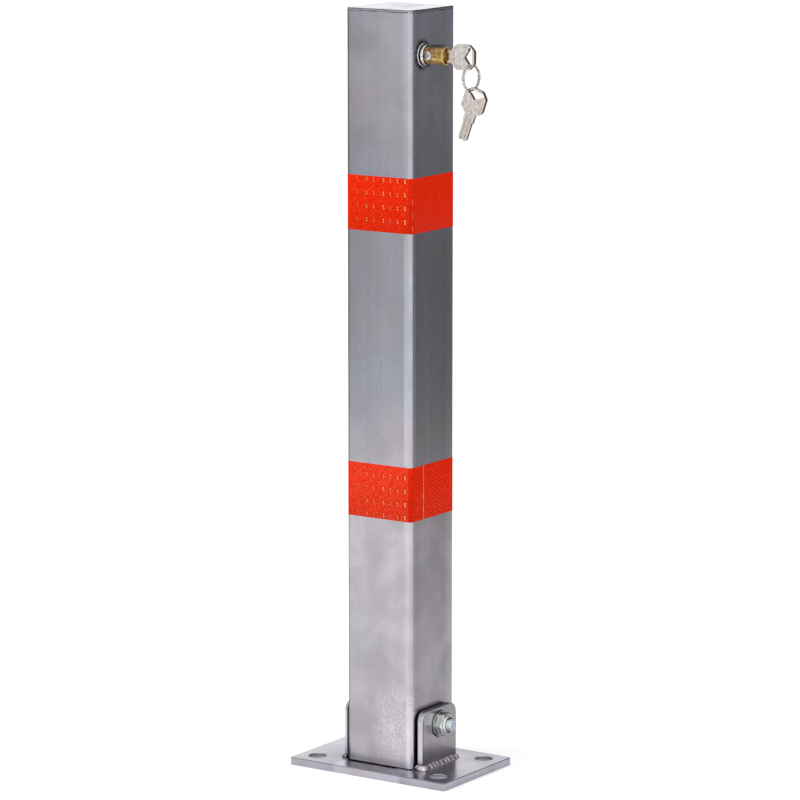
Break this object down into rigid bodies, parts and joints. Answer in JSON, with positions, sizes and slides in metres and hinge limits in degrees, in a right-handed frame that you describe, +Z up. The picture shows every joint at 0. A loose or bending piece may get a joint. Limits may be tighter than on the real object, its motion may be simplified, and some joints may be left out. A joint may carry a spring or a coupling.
{
  "type": "folding parking bollard",
  "caption": "Square steel parking post with red reflective bands that folds back on a bolt-down hinge plate and locks upright by a key-operated plunger lock.",
  "frame": {"origin": "centre of the base plate's underside, midway between the anchor holes", "axes": "+Z up along the post, +X towards the lock and the pivot nut, -Y the front; the post folds back towards +Y"},
  "size_m": [0.1602, 0.096, 0.597],
  "materials": {
    "galvanised_steel": "smooth zinc coating on steel, mottled and faintly scuffed",
    "weld_metal": "rippled weld bead, zinc coated",
    "zinc_fastener": "bright zinc plating",
    "plain_steel": "plain drawn steel",
    "spring_steel": "drawn spring wire",
    "red_reflective_tape": "glossy red retro-reflective tape with a printed cell pattern",
    "black_nylon": "black nylon ring",
    "lock_chrome": "polished chrome",
    "lock_brass": "turned brass",
    "nickel_silver": "stamped nickel silver, lightly worn",
    "ring_steel": "nickel-plated wire"
  },
  "bodies": {
    "base": {"base_plate": "galvanised_steel", "ear_right": "galvanised_steel", "ear_left": "galvanised_steel", "ear_weld_right": "weld_metal", "ear_weld_left": "weld_metal", "pivot_bolt": "zinc_fastener", "pivot_nut": "zinc_fastener", "washer_right": "zinc_fastener", "washer_left": "zinc_fastener", "nut_insert": "black_nylon"},
    "post": {"post_tube": "galvanised_steel", "top_cap": "galvanised_steel", "reflective_band_upper": "red_reflective_tape", "reflective_band_lower": "red_reflective_tape", "pivot_sleeve": "plain_steel", "rod_guide_lower": "plain_steel", "rod_guide_upper": "plain_steel", "rod_lift_spring": "spring_steel", "lock_housing": "lock_chrome", "housing_nut": "zinc_fastener"},
    "rod": {"locking_rod": "plain_steel", "rod_cross_pin": "plain_steel", "rod_collar": "plain_steel"},
    "barrel": {"lock_barrel": "lock_brass", "barrel_tail": "plain_steel"},
    "latch": {"latch_pin": "lock_chrome"},
    "plug": {"lock_plug": "lock_brass"},
    "key": {"key_in_lock": "nickel_silver"},
    "ring": {"key_ring": "ring_steel"},
    "spare": {"spare_key": "nickel_silver"}
  },
  "joints": [
    {"name": "post_fold", "type": "hinge", "parent": "base", "child": "post", "pos_m": [0, 0, 0.0385], "axis": [-1, 0, 0], "range_deg": [0, 90]},
    {"name": "barrel_push", "type": "slide", "parent": "post", "child": "barrel", "axis": [-1, 0, 0], "range_m": [0, 0.018], "stiffness_N_per_m": 300, "springref_m": -0.012},
    {"name": "rod_drop", "type": "slide", "parent": "post", "child": "rod", "axis": [0, 0, -1], "range_m": [0, 0.006], "deforming": ["rod_lift_spring"]},
    {"name": "key_turn", "type": "hinge", "parent": "barrel", "child": "plug", "pos_m": [0.04, -0.0148, 0.5625], "axis": [1, 0, 0], "range_deg": [0, 90]},
    {"name": "latch_out", "type": "slide", "parent": "barrel", "child": "latch", "axis": [0, -1, 0], "range_m": [0, 0.00099]},
    {"name": "key_withdraw", "type": "slide", "parent": "plug", "child": "key", "axis": [1, 0, 0], "range_m": [0, 0.018]},
    {"name": "ring_swing", "type": "hinge", "parent": "key", "child": "ring", "pos_m": [0.0739, -0.0148, 0.5568], "axis": [0.1045, 0.9945, 0], "range_deg": [-50, 10]},
    {"name": "spare_swing", "type": "hinge", "parent": "ring", "child": "spare", "pos_m": [0.0739, -0.0148, 0.5377], "axis": [0.1045, 0.9945, 0], "range_deg": [-50, 6]}
  ],
  "couplings": [
    {"joint": "rod_drop", "follows": "barrel_push", "ratio": 0.33333},
    {"joint": "latch_out", "follows": "key_turn", "m_per_rad": 0.00063}
  ]
}
